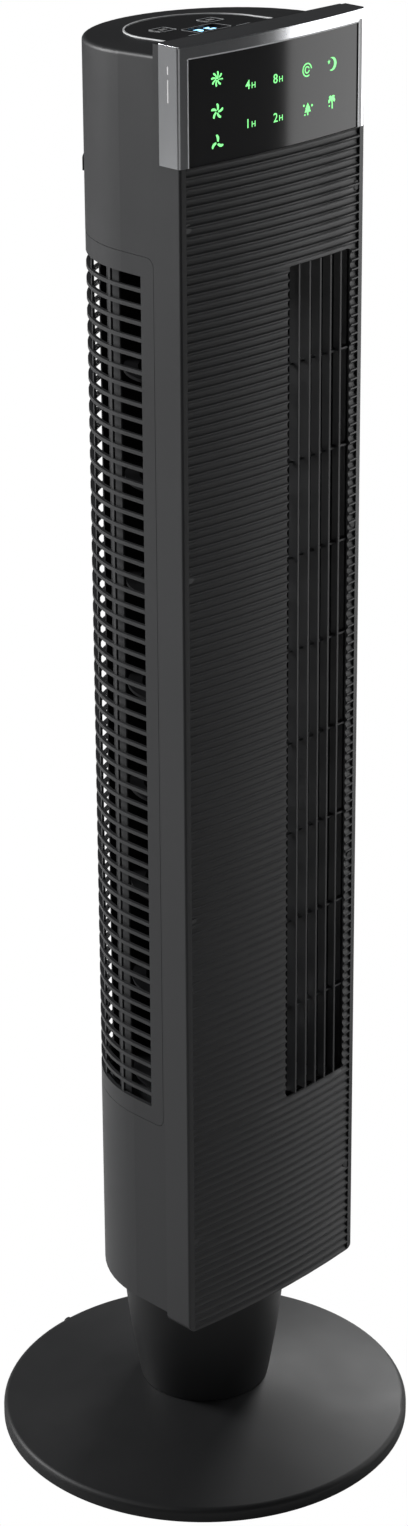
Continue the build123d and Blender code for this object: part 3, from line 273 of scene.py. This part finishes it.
lens_low, lens_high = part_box("display_lens")
front_low, front_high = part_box("front_panel")
HALF_WIDTH = front_high.x / MM
FRONT_MIDDLE = front_low.y / MM
BOW = 5.0
BOW_RADIUS = (HALF_WIDTH ** 2 + BOW ** 2) / (2 * BOW)
BOW_CENTRE = FRONT_MIDDLE + BOW_RADIUS
LENS_INSET = 0.8                # how far the lens face sits behind the bowed front
ART_THICKNESS = 0.06            # thickness of the lit symbols

FAN_RADIUS = 5.7
FAN_COLUMN_X = -51.4


def on_lens(x, z, proud=0.05):
    """Placing on the bowed lens; the piece's own Z is the way out of the lens."""
    reach = BOW_RADIUS - LENS_INSET + proud
    y = BOW_CENTRE - sqrt(reach ** 2 - x ** 2)
    lean = asin(x / reach)
    return (Matrix.Translation((x * MM, y * MM, z * MM)) @ Matrix.Rotation(lean, 4, "Z")
            @ Matrix.Rotation(pi / 2, 4, "X"))


def lens_symbol(name, outlines, x, z):
    """Lit symbol on the lens."""
    add_piece(name, flat_mesh(name, outlines, ART_THICKNESS), materials["lamp"],
              on_lens(x, z), "tower")


# three fan speeds
for name, blades, width, z in (("high", 8, 0.42, 992.7), ("middle", 5, 0.58, 973.0),
                               ("low", 3, 0.72, 954.0)):
    lens_symbol("symbol_fan_" + name, fan_symbol(blades, FAN_RADIUS, width), FAN_COLUMN_X, z)


# timer steps: a number and a small H
def stroke(points, width):
    """Outlines of straight pen strokes through the points, one per run."""
    outlines = []
    for (x0, y0), (x1, y1) in zip(points, points[1:]):
        length = sqrt((x1 - x0) ** 2 + (y1 - y0) ** 2)
        ux, uy = (x1 - x0) / length, (y1 - y0) / length
        h = width / 2
        outlines.append([(x0 - uy * h - ux * h, y0 + ux * h - uy * h),
                         (x0 + uy * h - ux * h, y0 - ux * h - uy * h),
                         (x1 + uy * h + ux * h, y1 - ux * h + uy * h),
                         (x1 - uy * h + ux * h, y1 + ux * h + uy * h)])
    return outlines


def text_mesh(name, text, size):
    """Mesh of a short text in the built-in face, centred, in millimetres."""
    curve = bpy.data.curves.new(name, "FONT")
    curve.body = text
    curve.size = size * MM
    curve.extrude = 0.03 * MM
    curve.offset = 0.02 * MM
    curve.align_x = "CENTER"
    holder = bpy.data.objects.new(name, curve)
    bpy.context.scene.collection.objects.link(holder)
    bpy.context.view_layer.update()
    mesh = bpy.data.meshes.new_from_object(holder)
    bpy.data.objects.remove(holder)
    return mesh


DIGIT_HEIGHT = 8.0
LETTER_HEIGHT = 5.2
for text, x, z in (("4", -24.8, 985.6), ("8", -1.5, 985.6), ("1", -24.8, 961.9),
                   ("2", -1.4, 961.7)):
    digit = text_mesh("timer_" + text, text, DIGIT_HEIGHT)
    add_piece("timer_" + text, digit, materials["lamp"], on_lens(x - 1.9, z - 2.9), "tower")
    letter = text_mesh("timer_hours_" + text, "H", LETTER_HEIGHT)
    add_piece("timer_hours_" + text, letter, materials["lamp"], on_lens(x + 2.8, z - 2.8),
              "tower")

# modes: swirl, moon with star, tree with sparks, palm
swirl = [arc_band(3.9, 0.8, 5, 300), arc_band(1.9, 0.75, 20, 350)]
lens_symbol("symbol_swirl", swirl, 24.8, 986.2)

moon_outer = circle(0, 0, 4.2, 40, radians(-115), radians(100))
moon_inner = [(x - 1.7, y + 0.2) for x, y in circle(0, 0, 3.7, 40, radians(95), radians(-105))]
star = [(0.0 + (1.5 if i % 2 == 0 else 0.65) * cos(radians(90 + 36 * i)) - 3.0,
         1.6 + (1.5 if i % 2 == 0 else 0.65) * sin(radians(90 + 36 * i))) for i in range(10)]
lens_symbol("symbol_night", [moon_outer + moon_inner, star], 48.3, 986.0)

tree = [(-2.9, -1.9), (-0.6, -1.9), (-0.6, -3.9), (0.6, -3.9), (0.6, -1.9), (2.9, -1.9),
        (1.7, 0.2), (2.2, 0.2), (0.0, 3.9), (-2.2, 0.2), (-1.7, 0.2)]
sparks = [circle(-3.6, 2.5, 0.75, 12), circle(3.9, 1.6, 0.8, 12), circle(-2.6, -3.4, 0.6, 12)]
lens_symbol("symbol_tree", [tree] + sparks, 25.5, 962.0)

palm = [(-0.1, -4.2), (1.1, -4.2), (0.9, -1.0), (0.5, 1.2), (2.6, -0.4), (3.3, 0.9), (2.2, 2.7),
        (3.0, 3.4), (1.2, 4.2), (0.0, 3.4), (-1.4, 4.2), (-3.0, 3.2), (-2.2, 2.6), (-3.5, 1.0),
        (-2.9, -0.6), (-0.7, 1.4), (0.0, -1.0)]
lens_symbol("symbol_palm", [palm, bar(-2.4, -2.2, 1.1, 0.9)], 48.3, 962.4)

# ------------------------------------------------------------------ top panel artwork
TOP_SLOPE = radians(2.6)


def on_top(node, x, y, proud):
    """Placing on the sloping top, over the highest point of a node."""
    normal = Vector((0, sin(TOP_SLOPE), cos(TOP_SLOPE)))
    reach = max(v.co.dot(normal) for v in nodes[node].data.vertices) + proud * MM
    turned = Matrix.Rotation(-TOP_SLOPE, 4, "X")
    along = (y * MM - reach * sin(TOP_SLOPE)) / cos(TOP_SLOPE)
    return Matrix.Translation(normal * reach) @ turned @ Matrix.Translation((x * MM, along, 0))


key_places = {"key_timer": (-20.5, 8.0), "key_speed": (20.5, 8.0), "key_swing": (-20.5, -27.0),
              "key_power": (20.5, -27.0)}
for key, (x, y) in key_places.items():
    # the light grey ring round each key is a painted highlight along its edge; the dashes are its
    # printed legend
    outline = [rounded(x, y, 13.2, 13.2, 1.9), rounded(x, y, 12.0, 12.0, 1.4)[::-1]]
    add_piece(key + "_outline", flat_mesh(key + "_outline", outline, 0.05), frame_print_and_key_highlight_grey,
              on_top(key, 0, 0, 0.04), key)
    dashes = [rounded(x, y + 1.1, 5.4, 0.9, 0.4), rounded(x, y - 1.1, 5.4, 0.9, 0.4)]
    add_piece(key + "_legend", flat_mesh(key + "_legend", dashes, 0.05), mark_white,
              on_top(key, 0, 0, 0.04), key)

# two glowing seven-segment digits inside a thin rounded frame
DIGITS_Y = -9.5
SEGMENTS = {"a": ((-1.7, 3.2), (1.7, 3.2)), "b": ((1.9, 3.0), (1.9, 0.25)),
            "c": ((1.9, -0.25), (1.9, -3.0)), "d": ((-1.7, -3.2), (1.7, -3.2)),
            "e": ((-1.9, -0.25), (-1.9, -3.0)), "f": ((-1.9, 3.0), (-1.9, 0.25)),
            "g": ((-1.6, 0.0), (1.6, 0.0))}
for name, x, lit in (("tens", -5.0, "abged"), ("units", 4.0, "acdefg")):
    outlines = []
    for letter in lit:
        (x0, y0), (x1, y1) = SEGMENTS[letter]
        outlines += stroke([(x0 * 1.15, y0 * 1.3), (x1 * 1.15, y1 * 1.3)], 0.75)
    outlines = [moved(outline, x, DIGITS_Y) for outline in outlines]
    add_piece("digit_" + name, flat_mesh("digit_" + name, outlines, 0.05), glow_white,
              on_top("digit_display", 0, 0, 0.04), "tower")

frame_lines = [rounded(0, DIGITS_Y, 29, 18.0, 3.0),
               rounded(0, DIGITS_Y, 28.2, 17.2, 2.7)[::-1]]
add_piece("digit_outline", flat_mesh("digit_outline", frame_lines, 0.04), frame_print_and_key_highlight_grey,
          on_top("control_panel", 0, 0, 0.03), "tower")

# two short light marks on the left side of the bezel
bezel_low, bezel_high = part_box("display_bezel")
side = Matrix.Translation((bezel_low.x - 0.05 * MM, 0, 0)) @ Matrix.Rotation(-pi / 2, 4, "Z") \
    @ Matrix.Rotation(pi / 2, 4, "X")
marks = [rounded(58.5, 1000.5, 0.9, 5.0, 0.4), rounded(58.5, 988.0, 0.9, 14.0, 0.4)]
add_piece("bezel_marks", flat_mesh("bezel_marks", marks, 0.08), mark_white, side, "tower")


# ------------------------------------------------------------------ painted highlights on the bezel edges
def strip_mesh(name, rail, across):
    """Thin ribbon along a rail of points (millimetres), its width given by the across vectors."""
    mesh = bpy.data.meshes.new(name)
    verts = []
    for point, side_step in zip(rail, across):
        verts.append((Vector(point) + Vector(side_step)) * MM)
        verts.append((Vector(point) - Vector(side_step)) * MM)
    faces = [(2 * i, 2 * i + 1, 2 * i + 3, 2 * i + 2) for i in range(len(rail) - 1)]
    mesh.from_pydata(verts, [], faces)
    mesh.update()
    holder = bpy.data.objects.new(name, mesh)
    bpy.context.scene.collection.objects.link(holder)
    solid = holder.modifiers.new("thickness", "SOLIDIFY")
    solid.thickness = 0.12 * MM
    solid.offset = 0
    bpy.context.view_layer.update()
    depsgraph = bpy.context.evaluated_depsgraph_get()
    result = bpy.data.meshes.new_from_object(holder.evaluated_get(depsgraph))
    bpy.data.objects.remove(holder)
    return result


def bow_point(x, z, proud):
    """Point on the bowed front, a little proud of it, in millimetres."""
    return (x, BOW_CENTRE - sqrt((BOW_RADIUS + proud) ** 2 - x ** 2), z)


# painted highlights round the window and up the left outer corner: light grey strips standing in
# for light caught on the bezel edges
WINDOW_HALF = 74.0
WINDOW_TOP = lens_high.z / MM + 0.1
WINDOW_BOTTOM = lens_low.z / MM
steps = [-WINDOW_HALF + 2 * WINDOW_HALF * i / 24 for i in range(25)]
painted_edge_highlight = shader("edge_highlight", (0.86, 0.87, 0.88), 0.25, bump=0.0, mottle=0.02)
for name, rail, width in (
        ("window_painted_highlight_top", [bow_point(x, WINDOW_TOP + 0.45, 0.1) for x in steps], (0, 0, 0.4)),
        ("window_painted_highlight_left", [bow_point(-WINDOW_HALF - 0.45, z, 0.1)
                              for z in (WINDOW_BOTTOM, WINDOW_TOP + 0.4)], (0.4, 0, 0)),
        ("window_painted_highlight_right", [bow_point(WINDOW_HALF + 1.6, z, 0.1)
                               for z in (WINDOW_BOTTOM, WINDOW_TOP + 2.0)], (1.5, 0, 0))):
    add_piece(name, strip_mesh(name, rail, [width] * len(rail)), painted_edge_highlight,
              Matrix.Identity(4), "tower")
CORNER_IN = 0.5                 # from the sharp corner in to the middle of its rounding
# painted highlight strip down the bezel's left outer corner
corner_rail = [(bezel_low.x / MM + CORNER_IN, FRONT_MIDDLE + BOW + CORNER_IN, z)
               for z in (WINDOW_BOTTOM, bezel_high.z / MM - 1.6)]
add_piece("corner_painted_highlight_left", strip_mesh("corner_painted_highlight_left", corner_rail,
                                         [(-0.35, 0.35, 0)] * 2), painted_edge_highlight,
          Matrix.Identity(4), "tower")

# ------------------------------------------------------------------ inlet ribs
# one stiffening rib each side behind the inlet grille, between the two brackets
RIB_X = 70.0
RIB_Y = 3.0
rib_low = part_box("lower_bracket")[1].z / MM
rib_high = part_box("upper_bracket")[0].z / MM
for mirror in (-1, 1):
    name = "inlet_rib_left" if mirror < 0 else "inlet_rib_right"
    outline = rounded(mirror * RIB_X, RIB_Y, 1.6, 12.0, 0.7)
    plate = flat_mesh(name, [outline], rib_high - rib_low)
    add_piece(name, plate, materials["grille"],
              Matrix.Translation((0, 0, (rib_low + rib_high) / 2 * MM)), "tower")

# ------------------------------------------------------------------ floor and light
# white to the camera, grey to the light that bounces off it
FLOOR_HALF = 6
floor_mesh = bpy.data.meshes.new("floor")
floor_mesh.from_pydata([(-FLOOR_HALF, -FLOOR_HALF, 0), (FLOOR_HALF, -FLOOR_HALF, 0),
                        (FLOOR_HALF, FLOOR_HALF, 0), (-FLOOR_HALF, FLOOR_HALF, 0)],
                       [], [(0, 1, 2, 3)])
floor = bpy.data.objects.new("floor", floor_mesh)
floor_paint = shader("floor_paint", (0.55, 0.55, 0.55), 0.8, bump=0.02, mottle=0.01, grain=80)
floor_mesh.materials.append(floor_paint)
floor_tree = floor_paint.node_tree
floor_surface = next(n for n in floor_tree.nodes if n.type == "BSDF_PRINCIPLED")
floor_out = next(n for n in floor_tree.nodes if n.type == "OUTPUT_MATERIAL")
floor_light = floor_tree.nodes.new("ShaderNodeEmission")
floor_light.inputs["Strength"].default_value = 1.0
floor_path = floor_tree.nodes.new("ShaderNodeLightPath")
floor_mix = floor_tree.nodes.new("ShaderNodeMixShader")
floor_tree.links.new(floor_path.outputs["Is Camera Ray"], floor_mix.inputs[0])
floor_tree.links.new(floor_surface.outputs[0], floor_mix.inputs[1])
floor_tree.links.new(floor_light.outputs[0], floor_mix.inputs[2])
floor_tree.links.new(floor_mix.outputs[0], floor_out.inputs["Surface"])
bpy.context.scene.collection.objects.link(floor)

# the camera sees white, everything else only a weak cool fill
FILL_STRENGTH = 0.04
world = bpy.data.worlds.new("studio")
bpy.context.scene.world = world
world.use_nodes = True
world_tree = world.node_tree
world_tree.nodes.clear()
world_out = world_tree.nodes.new("ShaderNodeOutputWorld")
seen = world_tree.nodes.new("ShaderNodeBackground")
felt = world_tree.nodes.new("ShaderNodeBackground")
seen.inputs["Color"].default_value = (1, 1, 1, 1)
seen.inputs["Strength"].default_value = 1.0
felt.inputs["Color"].default_value = (0.97, 0.98, 1.0, 1)
felt.inputs["Strength"].default_value = FILL_STRENGTH
chooser = world_tree.nodes.new("ShaderNodeMixShader")
path = world_tree.nodes.new("ShaderNodeLightPath")
world_tree.links.new(path.outputs["Is Camera Ray"], chooser.inputs[0])
world_tree.links.new(felt.outputs[0], chooser.inputs[1])
world_tree.links.new(seen.outputs[0], chooser.inputs[2])
world_tree.links.new(chooser.outputs[0], world_out.inputs["Surface"])
bpy.context.scene.view_settings.view_transform = "Standard"


def softbox(name, place, target, width, height, watts):
    """Soft rectangular light aimed at a point."""
    data = bpy.data.lights.new(name, "AREA")
    data.shape = "RECTANGLE"
    data.size = width
    data.size_y = height
    data.energy = watts
    lamp = bpy.data.objects.new(name, data)
    aim = (Vector(target) - Vector(place)).to_track_quat("-Z", "Y")
    lamp.matrix_world = Matrix.Translation(place) @ aim.to_matrix().to_4x4()
    bpy.context.scene.collection.objects.link(lamp)


softbox("box_left", (-1.5, 2.6, 1.8), (0, 0, 0.9), 1.0, 1.2, 125)
softbox("box_low_left", (-1.55, 1.7, 0.42), (0, 0, 0.95), 1.3, 0.9, 0.85)
softbox("box_side", (-2.6, -0.4, 2.0), (0, 0, 0.95), 0.8, 0.8, 10)
softbox("box_right", (1.225, -0.535, 0.75), (0.03, 0.13, 0.75), 1.0, 1.5, 10)
softbox("box_back", (1.45, 0.52, 0.85), (0, 0, 0.1), 0.6, 0.5, 15)
